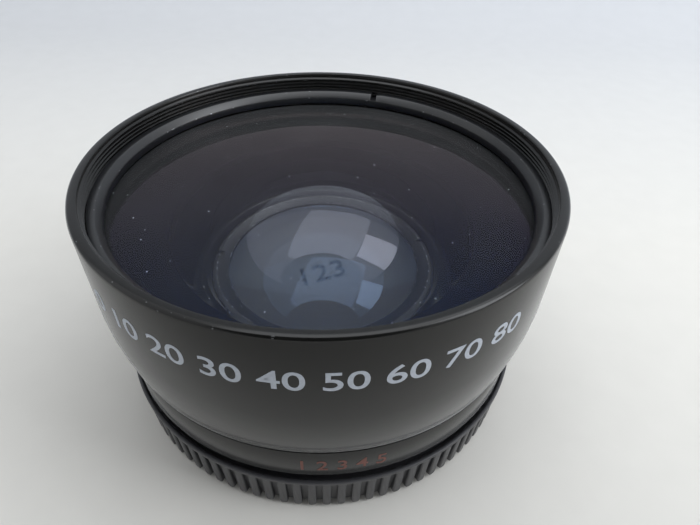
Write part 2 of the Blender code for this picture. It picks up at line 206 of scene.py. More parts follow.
class MarkSettings(bpy.types.PropertyGroup):
    """Printed and moulded numbers."""

    barrel_text: StringProperty(
        name="Barrel numbers",
        description="Numbers printed round the barrel",
        default="0 10 20 30 40 50 60 70 80",
    )
    band_text: StringProperty(
        name="Band numbers",
        description="Numbers printed on the macro ring",
        default="1 2 3 4 5",
    )
    cap_text: StringProperty(
        name="Cap number",
        description="Number moulded in the cap's floor",
        default="123",
    )
    stretch: amount("Stretch", "Width of the digits over the font's own", 1.25, 3.0)
    band_stretch: amount("Band stretch", "The same on the macro ring", 1.04, 3.0)
    film: length("Ink film", "Thickness of the letters, half of it above the wall", 0.05)
    barrel_bold: length("Barrel bold", "How far the white digits' strokes are widened", 0.035)
    band_bold: length("Band bold", "The same on the macro ring", 0.02)
    barrel_azimuth: angle("Barrel azimuth", "Middle of the barrel's numbers", -92.0)
    band_azimuth: angle("Band azimuth", "Middle of the macro ring's numbers", -82.5)
    barrel_base: length("Barrel base", "Height of the white digits' feet", 30.5)
    band_base: length("Band base", "Height of the red-brown digits' feet", 10.2)
    barrel_height: length("Barrel digit height", "Height of the white digits", 3.15)
    band_height: length("Band digit height", "Height of the red-brown digits", 2.4)
    cap_height: length("Cap digit height", "Height of the moulded digits", 4.1)
    cap_relief: length("Cap relief", "How far the moulded digits stand up", 0.25)
    cap_turn: angle("Cap turn", "Turn of the moulded number about the axis", 20.0)
    cap_place: spot("Cap place", "Middle of the number's foot, from the cap floor's centre", 0.0, 0.0, 0.0)
    white: colour("White ink", "Ink on the barrel", "#b4bbc6")
    red_brown: colour("Red-brown ink", "Ink on the macro ring", "#70443b")


class StudioSettings(bpy.types.PropertyGroup):
    """Camera, lamps and sweep."""

    target: spot("Target", "Point that the camera looks at", 4.41, 0.0, 19.86)
    distance: length("Distance", "From the camera to its target", 94.6)
    elevation: angle("Elevation", "Camera above the horizon", 39.58)
    roll: angle("Roll", "Camera turned about its own axis", 1.70)
    lens: FloatProperty(
        name="Focal length",
        description="Focal length on a 36 mm wide sensor",
        default=29.1,
        unit="CAMERA",
    )
    reach: length("Reach", "How far the paper runs forwards and to each side", 1500.0)
    back: length("Back", "From the lens's axis to the rising paper", 250.0)
    rise: length("Rise", "Height of the rising paper", 500.0)
    bend: length("Bend", "Radius in which the paper curves up", 80.0)
    floor: colour("Floor", "Paper sweep where the lens stands", "#d6d4ce")
    # Darker than the floor: painted shade where the paper rises behind
    backdrop: colour("Backdrop", "Paper sweep where it rises behind", "#c3c6cb")
    window: amount("Window", "Radiance of the tall softbox on the right", 3.4, 50.0)
    window_place: spot("Window place", "Middle of that softbox", 510.0, -130.0, 390.0)
    window_width: length("Window width", "Its width", 290.0)
    window_height: length("Window height", "Its height", 500.0)
    sides: amount("Sides", "Radiance of the room at the sides", 0.97, 10.0)
    overhead: amount("Overhead", "Radiance of the wide softbox overhead", 1.3, 10.0)
    overhead_place: spot("Overhead place", "Middle of that softbox", 80.0, 0.0, 600.0)
    overhead_width: length("Overhead width", "Its width", 600.0)
    overhead_depth: length("Overhead depth", "Its depth", 800.0)
    overhead_turn: angle("Overhead turn", "Its turn about the vertical", -20.0)
    behind: amount("Behind", "Share of the sides' radiance left behind the camera", 0.6)
    card: colour("Card", "Dark card that stands for the camera and its user", "#2a2a2c")
    card_width: length("Card width", "Width of that card", 150.0)
    card_height: length("Card height", "Height of that card", 130.0)
    card_gap: length("Card gap", "From the camera back to that card", 30.0)


def settings(group):
    """One of the scene's groups of settings."""
    return getattr(bpy.context.scene, "lens_" + group)


# Materials

def feed(node, inputs):
    """Sets or links a node's inputs. A node given as a value stands for its first output in use."""
    for socket, value in inputs.items():
        if isinstance(value, bpy.types.Node):
            value = next(output for output in value.outputs if output.enabled)
        if isinstance(value, bpy.types.NodeSocket):
            node.id_data.links.new(value, node.inputs[socket])
        else:
            node.inputs[socket].default_value = value


def add_node(tree, kind, inputs=None, **values):
    """Adds a shader node of a kind, sets its values, and sets or links its inputs."""
    node = tree.nodes.new("ShaderNode" + kind)
    for name, value in values.items():
        setattr(node, name, value)
    feed(node, inputs or {})
    return node


def new_material(name, **sockets):
    """A material with one Principled shader, and its tree, shader and Object coordinates."""
    material = bpy.data.materials.new(name)
    material.use_nodes = True
    tree = material.node_tree
    shader = tree.nodes["Principled BSDF"]
    for socket, value in sockets.items():
        shader.inputs[socket.replace("_", " ")].default_value = value
    place = add_node(tree, "TexCoord").outputs["Object"]
    return material, tree, shader, place


def rgba(colour_value):
    return (*colour_value, 1.0)


def mottled(tree, place, tint, size, darkest, lightest):
    """A colour that drifts between two strengths of a tint over patches of a size."""
    patches = add_node(tree, "TexNoise", {"Vector": place, "Scale": 1.0 / size, "Detail": 3.0})
    return add_node(
        tree,
        "Mix",
        {
            "Factor": patches,
            "A": rgba([darkest * c for c in tint]),
            "B": rgba([min(1.0, lightest * c) for c in tint]),
        },
        data_type="RGBA",
    )


def tool_marks(tree, place, spacing, detail):
    """Marks of a lathe tool, laid over radius plus height, which grows along walls and faces alike."""
    parts = add_node(tree, "SeparateXYZ", {"Vector": place})
    flat = add_node(tree, "CombineXYZ", {"X": parts.outputs["X"], "Y": parts.outputs["Y"]})
    radius = add_node(tree, "VectorMath", {0: flat}, operation="LENGTH")
    travel = add_node(tree, "Math", {0: radius, 1: parts.outputs["Z"]}, operation="ADD")
    return add_node(
        tree,
        "TexNoise",
        {"W": travel, "Scale": 1.0 / spacing, "Detail": detail},
        noise_dimensions="1D",
    )


def rub_edges(tree, shader, place, dye, spared):
    """Handling has rubbed the oxide off the broken edges, in flecks of about 0.8 mm.

    The more of the edge is spared, the fewer flecks there are. Returns where they are.
    """
    edge = add_node(tree, "Attribute", attribute_name=EDGE_LAYER)
    flecks = add_node(tree, "TexNoise", {"Vector": place, "Scale": 1.0 / (0.8 * MM), "Detail": 4.0})
    bare = add_node(tree, "MapRange", {"Value": flecks, "From Min": spared, "From Max": spared + FLECK_EDGE})
    rubbed = add_node(tree, "Math", {0: bare, 1: edge.outputs["Fac"]}, operation="MULTIPLY")
    worn = add_node(
        tree,
        "Mix",
        {"Factor": rubbed, "A": dye, "B": rgba(settings("metal").bare_metal)},
        data_type="RGBA",
    )
    feed(shader, {"Base Color": worn, "Metallic": rubbed})
    return rubbed


def anodised_turned_aluminium():
    """Black anodised aluminium, fine-turned and lightly bead-blasted.

    The dyed oxide on the metal is glass-like, so it is a dark dielectric with the
    oxide's IOR: nearly black face on and light grey at a glancing angle.
    """
    look = settings("metal")
    material, tree, shader, place = new_material(
        "anodised_turned_aluminium",
        Roughness=look.roughness,
        IOR=1.42,
        Sheen_Weight=look.bloom,
        Sheen_Roughness=0.3,
    )
    # Blasting grit leaves pits of about 0.12 mm, which the render can just show
    grit = add_node(tree, "TexNoise", {"Vector": place, "Scale": 1.0 / (0.12 * MM), "Detail": 2.0})
    # Tool marks are 0.05 mm apart, too fine to show, so they are drawn 0.3 mm apart
    marks = tool_marks(tree, place, 0.3 * MM, 1.0)
    relief = add_node(tree, "Mix", {"Factor": 0.5, "A": grit, "B": marks})
    bump = add_node(tree, "Bump", {"Height": relief, "Distance": 0.004 * MM, "Strength": 0.6})
    # Dye takes unevenly over patches of about 9 mm
    dye = mottled(tree, place, look.anodised, 9.0 * MM, 0.82, 1.18)
    rub_edges(tree, shader, place, dye, look.spared)
    feed(shader, {"Normal": bump})
    return material


def blackened_ring_aluminium(name, roughness, tint, spared):
    """Black anodised aluminium, turned and left unblasted, so the tool's marks show in it."""
    material, tree, shader, place = new_material(name, Roughness=roughness, IOR=1.6)
    # Dye takes unevenly over patches of about 4 mm
    dye = mottled(tree, place, tint, 4.0 * MM, 0.85, 1.15)
    rubbed = rub_edges(tree, shader, place, dye, spared)
    shine = add_node(tree, "MapRange", {"Value": rubbed, "To Min": roughness, "To Max": RUBBED_ROUGHNESS})
    # Tool marks are 0.05 mm apart, too fine to show, so they are drawn 0.25 mm apart
    marks = tool_marks(tree, place, 0.25 * MM, 2.0)
    bump = add_node(tree, "Bump", {"Height": marks, "Distance": 0.006 * MM, "Strength": 0.7})
    feed(shader, {"Roughness": shine, "Normal": bump})
    return material


def moulded_cap_plastic():
    """Injection-moulded ABS, black, with the fine grain of an eroded mould."""
    look = settings("cap")
    material, tree, shader, place = new_material("moulded_cap_plastic", Roughness=look.roughness, IOR=1.54)
    # Pigment flows unevenly over about 7 mm
    pigment = mottled(tree, place, look.plastic, 7.0 * MM, 0.92, 1.08)
    # Mould grain of 0.08 mm is drawn at 0.16 mm, the finest that shows
    grain = add_node(tree, "TexNoise", {"Vector": place, "Scale": 1.0 / (0.16 * MM), "Detail": 2.0})
    bump = add_node(tree, "Bump", {"Height": grain, "Distance": 0.006 * MM, "Strength": 0.5})
    # Handling polishes the skin in patches of about 5 mm
    wear = add_node(tree, "TexNoise", {"Vector": place, "Scale": 1.0 / (5.0 * MM), "Detail": 3.0})
    dull = add_node(
        tree,
        "MapRange",
        {"Value": wear, "To Min": look.roughness - 0.06, "To Max": look.roughness + 0.08},
    )
    feed(shader, {"Base Color": pigment, "Roughness": dull, "Normal": bump})
    return material


def polished_optical_glass(name, reflected):
    """A polished inner face that mirrors the window clearly, tinted by its thin coat."""
    look = settings("glass")
    material, tree, shader, place = new_material(
        name,
        Roughness=0.0,
        IOR=1.52,
        Transmission_Weight=1.0,
        Specular_Tint=rgba(reflected),
    )
    # The coat's thickness drifts over about 15 mm
    feed(shader, {"Base Color": mottled(tree, place, look.body, 15.0 * MM, 0.97, 1.0)})
    return material


def etched_cap_plastic():
    """The cap's ABS with its colour darkened and its shine cut, as painted shade that stands for the shade
    in engraved strokes.
    """
    look = settings("cap")
    material, tree, shader, place = new_material(
        "etched_cap_plastic",
        Roughness=0.8,
        Specular_IOR_Level=0.15,
    )
    # Painted shade: 0.05 to 0.3 of the plastic's colour, varied over grain of about 0.15 mm
    feed(shader, {"Base Color": mottled(tree, place, look.plastic, 0.15 * MM, 0.05, 0.3)})
    return material


def coated_dusty_glass():
    """The outer face of the front glass: a magnesium fluoride coat leaves a faint blue
    reflection, and specks of dust lie on it."""
    look = settings("glass")
    material, tree, shader, place = new_material(
        "coated_dusty_glass",
        Roughness=0.0,
        IOR=1.52,
        Thin_Film_Thickness=look.film_thickness,
        Thin_Film_IOR=look.film_index,
    )
    # Specks are up to 0.26 mm across, one to a cell of about 2.6 mm, in a fifth of the cells
    cells = add_node(
        tree,
        "TexVoronoi",
        {"Vector": place, "Scale": 1.0 / (2.6 * MM)},
        voronoi_dimensions="2D",
    )
    chance = add_node(tree, "SeparateColor", {"Color": cells.outputs["Color"]})
    reach = add_node(tree, "MapRange", {"Value": chance.outputs["Red"], "From Min": 0.82, "To Max": 0.05})
    speck = add_node(tree, "Math", {0: cells.outputs["Distance"], 1: reach}, operation="LESS_THAN")
    # Fingers and damp leave a thin film, uneven over about 12 mm, that veils the black inside
    film = add_node(tree, "TexNoise", {"Vector": place, "Scale": 1.0 / (12.0 * MM), "Detail": 2.0})
    # A film scatters more at a glancing angle, where light runs through more of it
    glance = add_node(tree, "LayerWeight", {"Blend": 0.5})
    thicker = add_node(
        tree,
        "MapRange",
        {"Value": glance.outputs["Facing"], "From Min": 0.2, "To Min": 0.8, "To Max": 2.6},
    )
    uneven = add_node(
        tree,
        "MapRange",
        {"Value": film, "To Min": 0.7 * look.haze, "To Max": 1.3 * look.haze},
    )
    veil = add_node(tree, "Math", {0: uneven, 1: thicker}, operation="MULTIPLY")
    cover = add_node(tree, "Math", {0: veil, 1: speck}, operation="MAXIMUM")
    clear = add_node(tree, "Math", {0: 1.0, 1: cover}, operation="SUBTRACT")
    tint = add_node(
        tree,
        "Mix",
        {"Factor": speck, "A": rgba(look.body), "B": rgba(look.dust)},
        data_type="RGBA",
    )
    feed(shader, {"Transmission Weight": clear, "Base Color": tint})
    return material


def matt_edge_paint():
    """Matt black lacquer on the ground rim of a glass, which stops stray light."""
    look = settings("glass")
    material, tree, shader, place = new_material("matt_edge_paint", Roughness=0.9, Specular_IOR_Level=0.0)
    # Brush marks of about 1 mm
    feed(shader, {"Base Color": mottled(tree, place, look.edge_paint, MM, 0.8, 1.2)})
    return material


def pad_printed_ink(name, ink):
    """Pad-printed two-part ink: a thin even film whose edges and body vary a little."""
    material, tree, shader, place = new_material(name, Roughness=0.5, IOR=1.5)
    # The film thins in spots of about 0.4 mm
    feed(shader, {"Base Color": mottled(tree, place, ink, 0.4 * MM, 0.78, 1.1)})
    return material


def matt_card(tint):
    """Dark grey card, faintly uneven."""
    material, tree, shader, place = new_material("matt_card", Roughness=0.8)
    # Pulp clumps of about 5 mm
    feed(shader, {"Base Color": mottled(tree, place, tint, 5.0 * MM, 0.9, 1.1)})
    return material


def sweep_paper(near, far):
    """Matt card, nearly white, painted darker as painted shade and cooler where it rises, with fibres that
    mottle it faintly.
    """
    material, tree, shader, place = new_material("sweep_paper", Roughness=0.8, Specular_IOR_Level=0.2)
    # Fibre clumps of about 6 mm
    fibres = add_node(tree, "TexNoise", {"Vector": place, "Scale": 1.0 / (6.0 * MM), "Detail": 6.0})
    parts = add_node(tree, "SeparateXYZ", {"Vector": place})
    # Painted shade: the floor's tone gives way to the darker, cooler backdrop's from 30 to 250 mm behind the
    # lens
    back = add_node(
        tree,
        "MapRange",
        {"Value": parts.outputs["Y"], "From Min": 30.0 * MM, "From Max": 250.0 * MM},
    )
    tone = add_node(tree, "Mix", {"Factor": back, "A": rgba(near), "B": rgba(far)}, data_type="RGBA")
    mottle = add_node(tree, "MapRange", {"Value": fibres, "To Min": 0.97, "To Max": 1.03})
    shade = add_node(
        tree,
        "Mix",
        {"Factor": 1.0, "A": tone, "B": mottle},
        data_type="RGBA",
        blend_type="MULTIPLY",
    )
    feed(shader, {"Base Color": shade})
    return material


# Shapes

def everything(shape):
    return shape.verts[:] + shape.edges[:] + shape.faces[:]


def only_verts(parts):
    return [part for part in parts if isinstance(part, bmesh.types.BMVert)]


def as_mesh(shape, name):
    """Turns a shape into a mesh and frees it."""
    mesh = bpy.data.meshes.new(name)
    shape.to_mesh(mesh)
    shape.free()
    return mesh


def new_object(name, data):
    """Puts an object into the scene."""
    made = bpy.data.objects.new(name, data)
    bpy.context.scene.collection.objects.link(made)
    return made


def round_edges(shape, edges, width, segments):
    """Rounds edges of a shape, and returns what that makes."""
    return bmesh.ops.bevel(
        shape,
        geom=edges,
        offset=width,
        offset_type="OFFSET",
        segments=segments,
        profile=0.5,
        affect="EDGES",
        material=-1,
        clamp_overlap=True,
    )


def solid_section(node, azimuth=0.0):
    """A solid's outline where the half plane at an azimuth cuts it, as edges in the XZ plane."""
    outline = bmesh.new()
    outline.from_mesh(frame["nodes"][node].data)
    bmesh.ops.remove_doubles(outline, verts=outline.verts, dist=WELD)
    bmesh.ops.rotate(outline, matrix=Matrix.Rotation(-azimuth, 3, UP), verts=outline.verts)
    for normal, both_sides in (((0.0, 1.0, 0.0), True), ((1.0, 0.0, 0.0), False)):
        bmesh.ops.bisect_plane(
            outline,
            geom=everything(outline),
            dist=WELD,
            plane_co=ORIGIN,
            plane_no=normal,
            clear_inner=True,
            clear_outer=both_sides,
        )
    bmesh.ops.dissolve_limit(outline, angle_limit=STRAIGHT, verts=outline.verts, edges=outline.edges)
    return outline


def mount_height(name):
    """Height of one of the record's mount faces."""
    return next(m["pos_m"][2] for m in frame["record"]["mounts"] if m["name"] == name)


def radii_at(outline, height):
    """The radii at which an outline crosses a height, from the axis outwards."""
    radii = []
    for edge in outline.edges:
        low, high = sorted((vert.co for vert in edge.verts), key=lambda place: place.z)
        if low.z <= height < high.z:
            radii.append(low.lerp(high, (height - low.z) / (high.z - low.z)).x)
    return sorted(radii)


def deepen(outline, radius, depth, near=0.05 * MM):
    """Moves the wall at a radius by a depth: outwards if it is positive."""
    for vert in outline.verts:
        if abs(vert.co.x - radius) < near:
            vert.co.x += depth


def turn_on_lathe(outline):
    """Spins an outline right round the axis, and breaks the sharp edges that this leaves."""
    bmesh.ops.spin(
        outline,
        geom=outline.verts[:] + outline.edges[:],
        cent=ORIGIN,
        axis=UP,
        angle=math.tau,
        steps=TURN_STEPS,
        use_merge=True,
    )
    bmesh.ops.remove_doubles(outline, verts=outline.verts, dist=WELD)
    bmesh.ops.recalc_face_normals(outline, faces=outline.faces)
    layer = outline.faces.layers.float.new(EDGE_LAYER)
    sharp = [edge for edge in outline.edges if edge.calc_face_angle(0.0) > EDGE_ANGLE]
    for face in round_edges(outline, sharp, EDGE_BREAK, 2)["faces"]:
        face[layer] = 1.0
    return outline


def add_shape(solid, other):
    """Adds a closed shape to a piece's mesh."""
    mesh = as_mesh(other, "part")
    solid.from_mesh(mesh)
    bpy.data.meshes.remove(mesh)


def add_thread(solid, crest, depth, low, high, pitch):
    """Adds a ridge that climbs round the axis. Its depth is positive for a male thread."""
    ridge = bmesh.new()
    root = crest - depth * RIDGE_SUNK
    half_foot = RIDGE_FOOT * pitch
    half_crest = RIDGE_CREST * pitch
    corners = [(root, -half_foot), (crest, -half_crest), (crest, half_crest), (root, half_foot)]
    verts = [ridge.verts.new((radius, 0.0, low + half_foot + height)) for radius, height in corners]
    for start, end in zip(verts, verts[1:] + verts[:1]):
        ridge.edges.new((start, end))
    turns = (high - low - 2.0 * half_foot) / pitch
    steps = round(turns * THREAD_STEPS)
    bmesh.ops.spin(
        ridge,
        geom=everything(ridge),
        cent=ORIGIN,
        axis=UP,
        dvec=(0.0, 0.0, pitch / THREAD_STEPS),
        angle=math.tau * steps / THREAD_STEPS,
        steps=steps,
    )
    ends = [edge for edge in ridge.edges if edge.is_boundary]
    bmesh.ops.holes_fill(ridge, edges=ends, sides=len(corners))
    bmesh.ops.recalc_face_normals(ridge, faces=ridge.faces)
    add_shape(solid, ridge)


def round_to_sphere(outline, curve, apex, centre_side):
    """Splits the chords of a glass face and moves the new points out to the true sphere."""
    centre = Vector((0.0, 0.0, apex + centre_side * curve))

    def on_face(vert):
        return abs((vert.co - centre).length - curve) < 3.0 * WELD

    chords = [edge for edge in outline.edges if all(on_face(vert) for vert in edge.verts)]
    if not chords:
        raise RuntimeError("no chord of the solid lies on a sphere of that curve")
    split = bmesh.ops.subdivide_edges(outline, edges=chords, cuts=DOME_CUTS)
    for vert in only_verts(split["geom_inner"]):
        vert.co = centre + (vert.co - centre).normalized() * curve


def apex_heights(outline):
    """The lowest and highest points of an outline on the axis."""
    heights = [vert.co.z for vert in outline.verts if vert.co.x < WELD]
    return min(heights), max(heights)


def finish_mesh(mesh):
    mesh.shade_smooth()
    mesh.set_sharp_from_angle(angle=SMOOTH_ANGLE)


def place_piece(name, solid, materials, body, slot, *nodes):
    """Makes an object of a shape, rides it on its body and lets it stand for its solids."""
    mesh = as_mesh(solid, name)
    finish_mesh(mesh)
    for material in materials:
        mesh.materials.append(material)
    piece = new_object(name, mesh)
    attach(piece, body)
    if nodes:
        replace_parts(piece, *nodes)
    return piece


def cut_spanner_slots(piece, azimuth):
    """Cuts two opposite slots in a ring's top with one bar laid across it."""
    look = settings("glass")
    low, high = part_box(piece["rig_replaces"][0])
    bar = bmesh.new()
    bmesh.ops.create_cube(bar, size=1.0)
    across = 2.0 * high.x + look.slot_depth
    bmesh.ops.scale(bar, vec=(across, look.slot_width, 2.0 * look.slot_depth), verts=bar.verts)
    bmesh.ops.rotate(bar, matrix=Matrix.Rotation(azimuth, 3, UP), verts=bar.verts)
    bmesh.ops.translate(bar, vec=(0.0, 0.0, high.z), verts=bar.verts)
    bar_mesh = as_mesh(bar, "slot_bar")
    cutter = new_object("slot_bar", bar_mesh)
    cut = piece.modifiers.new("spanner_slots", "BOOLEAN")
    cut.operation = "DIFFERENCE"
    cut.solver = "EXACT"
    cut.object = cutter
    graph = bpy.context.evaluated_depsgraph_get()
    slotted = bpy.data.meshes.new_from_object(piece.evaluated_get(graph))
    piece.modifiers.remove(cut)
    piece.data = slotted
    finish_mesh(slotted)
    bpy.data.objects.remove(cutter)
    bpy.data.meshes.remove(bar_mesh)


def flat_text(text, height, stretch, thickness, bold=0.0):
    """Letters lying in the XY plane, centred on the origin, their face towards +Z."""
    curve = bpy.data.curves.new("letters", "FONT")
    curve.body = text
    curve.size = height / 0.72      # a digit of the built-in font is 0.72 of its size high
    curve.align_x = "CENTER"
    curve.align_y = "BOTTOM_BASELINE"
    curve.extrude = 0.5 * thickness
    curve.offset = bold
    letters = new_object("letters", curve)
    graph = bpy.context.evaluated_depsgraph_get()
    mesh = bpy.data.meshes.new_from_object(letters.evaluated_get(graph))
    flat = bmesh.new()
    flat.from_mesh(mesh)
    bpy.data.objects.remove(letters)
    bpy.data.curves.remove(curve)
    bpy.data.meshes.remove(mesh)
    bmesh.ops.scale(flat, vec=(stretch, 1.0, 1.0), verts=flat.verts)
    bmesh.ops.remove_doubles(flat, verts=flat.verts, dist=WELD)
    bmesh.ops.recalc_face_normals(flat, faces=flat.faces)
    return flat


def slice_across(flat):
    """Cuts flat letters into narrow strips, so that they can follow a round wall."""
    left = min(vert.co.x for vert in flat.verts)
    right = max(vert.co.x for vert in flat.verts)
    cuts = int((right - left) / LETTER_STRIP)
    for cut in range(1, cuts + 1):
        bmesh.ops.bisect_plane(
            flat,
            geom=everything(flat),
            dist=WELD,
            plane_co=(left + cut * LETTER_STRIP, 0.0, 0.0),
            plane_no=(1.0, 0.0, 0.0),
        )


def wrap_on_wall(flat, wall, azimuth, base):
    """Wraps flat letters round the outside of an outline, upright, from a height up."""
    slice_across(flat)
    middle = radii_at(wall, base)[-1]
    for vert in flat.verts:
        turn = azimuth + vert.co.x / middle
        height = base + vert.co.y
        radius = radii_at(wall, height)[-1] + vert.co.z
        vert.co = (radius * math.cos(turn), radius * math.sin(turn), height)


# Pieces

class LENS_OT_front_barrel(bpy.types.Operator):
    """Turn the flared front barrel, its filter thread and its neck thread"""

    bl_idname = "lens.front_barrel"
    bl_label = "Front barrel"

    def execute(self, context):
        look = settings("metal")
        outline = solid_section("front_barrel")
        ring_low, ring_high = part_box("front_retaining_ring")
        barrel_low, barrel_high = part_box("front_barrel")
        neck_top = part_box("macro_ring")[1].z
        mouth_bore = radii_at(outline, 0.5 * (ring_high.z + barrel_high.z))[0]
        neck_bore = radii_at(outline, barrel_low.z + MM)[0]
        deepen(outline, mouth_bore, look.thread_depth)
        deepen(outline, neck_bore, look.thread_depth)
        barrel = turn_on_lathe(outline)
        relief = look.thread_relief
        for crest, foot, top, pitch in (
            (mouth_bore, ring_low.z, barrel_high.z - relief, look.filter_pitch),
            (neck_bore, barrel_low.z + relief, neck_top, look.screw_pitch),
        ):
            add_thread(barrel, crest, -look.thread_depth, foot, top, pitch)
        place_piece(
            "front_barrel_turned",
            barrel,
            [anodised_turned_aluminium()],
            "front_unit",
            "anodised_barrel",
            "front_barrel",
        )
        return {"FINISHED"}


class LENS_OT_macro_ring(bpy.types.Operator):
    """Turn the macro ring with its mount thread below and its neck thread above"""

    bl_idname = "lens.macro_ring"
    bl_label = "Macro ring"

    def execute(self, context):
        look = settings("metal")
        outline = solid_section("macro_ring")
        low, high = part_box("macro_ring")
        shoulder = mount_height("mount_shoulder")
        band_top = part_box("front_barrel")[0].z
        mount = radii_at(outline, 0.5 * (low.z + shoulder))[-1]
        neck = radii_at(outline, 0.5 * (band_top + high.z))[-1]
        deepen(outline, mount, -look.thread_depth)
        deepen(outline, neck, -look.thread_depth)
        band = radii_at(outline, 0.5 * (shoulder + band_top))[-1]
        band_height = max(vert.co.z for vert in outline.verts if vert.co.x > band)
        for vert in outline.verts:
            if abs(vert.co.z - band_height) < WELD:
                vert.co.z += look.seam_closed
        ring = turn_on_lathe(outline)
        relief = look.thread_relief
        for crest, foot, top in (
            (mount, low.z + relief, shoulder - relief),
            (neck, band_top + relief, high.z - relief),
        ):
            add_thread(ring, crest, look.thread_depth, foot, top, look.screw_pitch)
        place_piece(
            "macro_ring_turned",
            ring,
            [bpy.data.materials["anodised_turned_aluminium"]],
            "macro_unit",
            "anodised_barrel",
            "macro_ring",
        )
        return {"FINISHED"}


class LENS_OT_retaining_rings(bpy.types.Operator):
    """Turn the two retaining rings and cut their spanner slots"""

    bl_idname = "lens.retaining_rings"
    bl_label = "Retaining rings"

    def execute(self, context):
        look = settings("glass")
        metal = settings("metal")
        shiny = blackened_ring_aluminium(
            "blackened_ring_aluminium", metal.ring_roughness, metal.ring_black, metal.ring_spared
        )
        matt = blackened_ring_aluminium(
            "matt_blackened_aluminium", metal.matt_roughness, metal.matt_black, metal.matt_spared
        )
        for node, body, azimuth, opened, finish in (
            ("front_retaining_ring", "front_unit", look.front_slot, look.front_opened, shiny),
            ("macro_retaining_ring", "macro_unit", look.macro_slot, 0.0, matt),
        ):
            outline = solid_section(node)
            low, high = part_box(node)
            bore = radii_at(outline, 0.5 * (low.z + high.z))[0]
            # The bore is flared, so all of it lies within 1 mm of its middle radius
            deepen(outline, bore, opened, near=MM)
            deepen(outline, high.x, look.thread_play)
            ring = turn_on_lathe(outline)
            piece = place_piece(node + "_turned", ring, [finish], body, "blackened_ring", node)
            cut_spanner_slots(piece, azimuth)
        return {"FINISHED"}


class LENS_OT_glasses(bpy.types.Operator):
    """Grind the front glass and the small macro glass and paint their rims"""

    bl_idname = "lens.glasses"
    bl_label = "Glasses"

    def grind(self, node, top_curve, lower_curve, lower_side):
        """A glass with true spherical faces. The lower one's centre is below or above it."""
        outline = solid_section(node)
        lower_apex, top_apex = apex_heights(outline)
        round_to_sphere(outline, top_curve, top_apex, -1.0)
        round_to_sphere(outline, lower_curve, lower_apex, lower_side)
        return turn_on_lathe(outline)

    def paint_rim(self, glass, inside, top_index):
        """Paints what lies outside a radius, and gives the top face a material of its own."""
        for face in glass.faces:
            if face.normal.angle(UP) < FACES_UP:
                face.material_index = top_index
            elif face.calc_center_median().xy.length > inside:
                face.material_index = 1

    def execute(self, context):
        look = settings("glass")
        paint = matt_edge_paint()
        hollow = polished_optical_glass("polished_front_glass", look.inner)
        lens = polished_optical_glass("polished_macro_glass", look.macro_coat)
        coated = coated_dusty_glass()
        front = self.grind("front_glass", look.front_top, look.front_hollow, -1.0)
        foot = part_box("front_glass")[0].z
        hollow_edge = min(v.co.xy.length for v in front.verts if v.co.z < foot + EDGE_BREAK)
        self.paint_rim(front, hollow_edge, 2)
        macro = self.grind("macro_glass", look.macro_top, look.macro_rear, 1.0)
        self.paint_rim(macro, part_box("macro_glass")[1].x - EDGE_BREAK, 0)
        for name, glass, materials, body, node in (
            ("front_glass_ground", front, [hollow, paint, coated], "front_unit", "front_glass"),
            ("macro_glass_ground", macro, [lens, paint], "macro_unit", "macro_glass"),
        ):
            piece = place_piece(name, glass, materials, body, "coated_glass", node)
            # Clear glass casts next to no shade, and leaving its shade out keeps the cap's floor clean
            piece.visible_shadow = False
            piece.visible_diffuse = False
        return {"FINISHED"}


class LENS_OT_rear_cap(bpy.types.Operator):
    """Mould the rear cap with its grip ribs and the thread in its mouth"""

    bl_idname = "lens.rear_cap"
    bl_label = "Rear cap"

    def rib_ring(self, wall, through_rib):
        """All the ribs: one's side view is given a width, rounded and repeated round the cap."""
        look = settings("cap")
        reach = max(vert.co.x for vert in wall.verts)
        flange = min(vert.co.z for vert in wall.verts if vert.co.x > reach - WELD)
        low = look.rib_foot + look.rib_clear
        high = flange - look.rib_clear
        root = radii_at(wall, high)[-1]
        corners = (
            (radii_at(wall, low)[-1] - look.rib_root, look.rib_width, look.rib_foot),
            (radii_at(through_rib, low)[-1], look.rib_tip_width, look.rib_foot),
            (radii_at(through_rib, high)[-1], look.rib_tip_width, flange + OVERLAP),
            (root - look.rib_root, look.rib_width, flange + OVERLAP),
        )
        rib = bmesh.new()
        side = rib.faces.new([rib.verts.new((r, -0.5 * width, z)) for r, width, z in corners])
        pulled = bmesh.ops.extrude_face_region(rib, geom=[side], use_keep_orig=True)
        for vert in only_verts(pulled["geom"]):
            vert.co.y = -vert.co.y
        bmesh.ops.recalc_face_normals(rib, faces=rib.faces)
        foot = min(rib.faces, key=lambda face: face.normal.z)
        along = [edge for edge in foot.edges if edge.verts[0].co.y * edge.verts[1].co.y > 0.0]
        round_edges(rib, along, look.rib_corner, 4)
        tip = max(rib.faces, key=lambda face: face.normal.x)
        outer = [edge for edge in tip.edges if any(vert.co.z < high for vert in edge.verts)]
        round_edges(rib, outer, look.rib_edge, 2)
        bmesh.ops.recalc_face_normals(rib, faces=rib.faces)
        bmesh.ops.spin(
            rib,
            geom=everything(rib),
            cent=ORIGIN,
            axis=UP,
            angle=math.tau * (look.ribs - 1) / look.ribs,
            steps=look.ribs - 1,
            use_duplicate=True,
        )
        return rib

    def execute(self, context):
        look = settings("cap")
        metal = settings("metal")
        between = math.pi / look.ribs
        outline = solid_section("rear_cap", between)
        through_rib = solid_section("rear_cap", 0.0)
        floor = min(z for z in (v.co.z for v in outline.verts if v.co.x < WELD) if z > MM)
        bore = radii_at(outline, floor + MM)[0]
        recess_floor = min(v.co.z for v in outline.verts if v.co.x > bore + MM and v.co.z > floor + MM)
        ribs = self.rib_ring(outline, through_rib)
        through_rib.free()
        deepen(outline, bore, metal.thread_depth)
        cup = turn_on_lathe(outline)
        foot = floor + metal.thread_relief
        top = recess_floor - OVERLAP
        add_thread(cup, bore, -metal.thread_depth, foot, top, metal.screw_pitch)
        add_shape(cup, ribs)
        place_piece("rear_cap_moulded", cup, [moulded_cap_plastic()], "cap_unit", "cap_plastic", "rear_cap")
        return {"FINISHED"}


